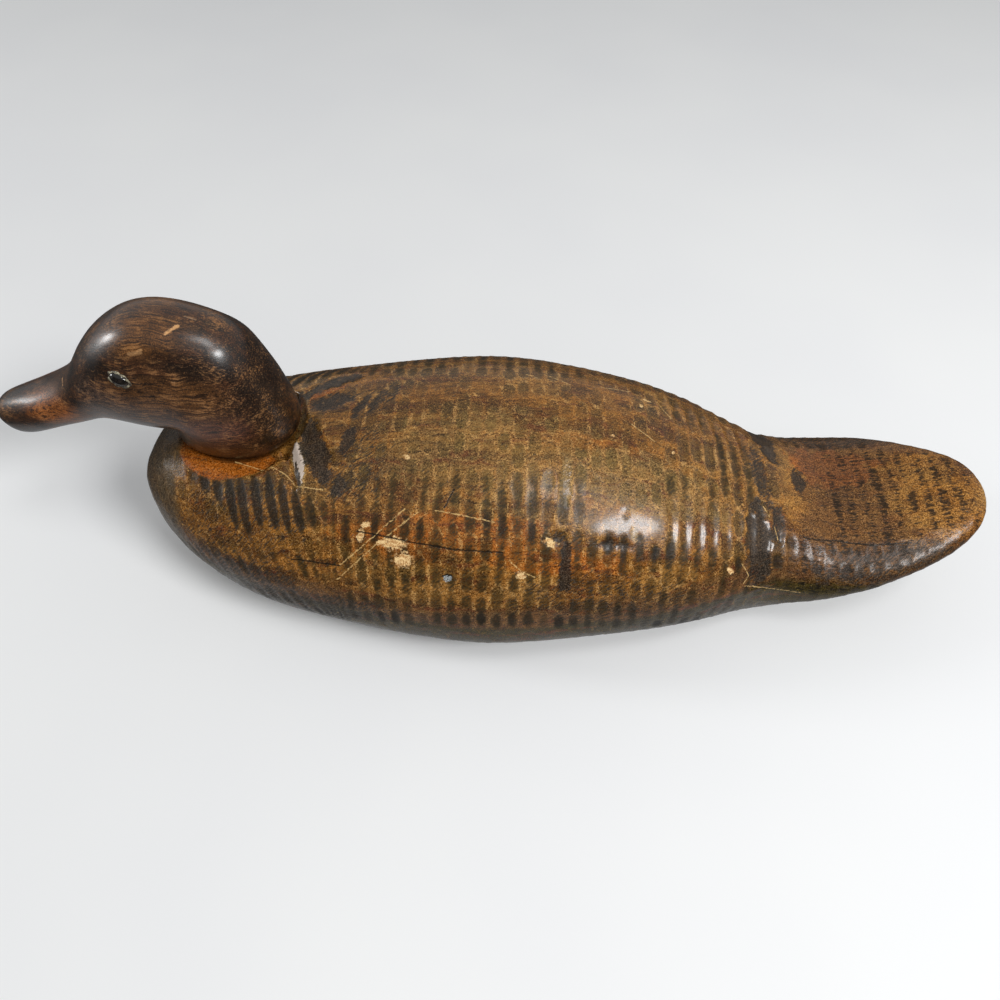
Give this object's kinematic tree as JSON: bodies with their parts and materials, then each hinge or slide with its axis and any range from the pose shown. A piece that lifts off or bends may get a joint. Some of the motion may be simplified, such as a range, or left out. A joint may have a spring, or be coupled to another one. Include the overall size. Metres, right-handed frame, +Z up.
{
  "type": "carved wooden duck decoy",
  "caption": "Folk carved wooden duck decoy with a rounded body, a paddle tail, a separate seated head and set-in glass eyes; stands on its flat underside.",
  "frame": {"origin": "centre of the object's box on the surface that it stands on", "axes": "+X towards the tail, -X towards the bill, +Z up, the duck's left side towards -Y"},
  "size_m": [0.407, 0.133, 0.1337],
  "materials": {
    "body_wood": "golden brown carved wood with dark stain in the gouge cuts under worn varnish",
    "head_wood": "dark red-brown wood, smoothed and polished by handling",
    "eye_glass": "opaque dark glossy glass"
  },
  "bodies": {
    "root": {"body": "body_wood", "head": "head_wood", "eye_left": "eye_glass", "eye_right": "eye_glass"}
  },
  "joints": []
}
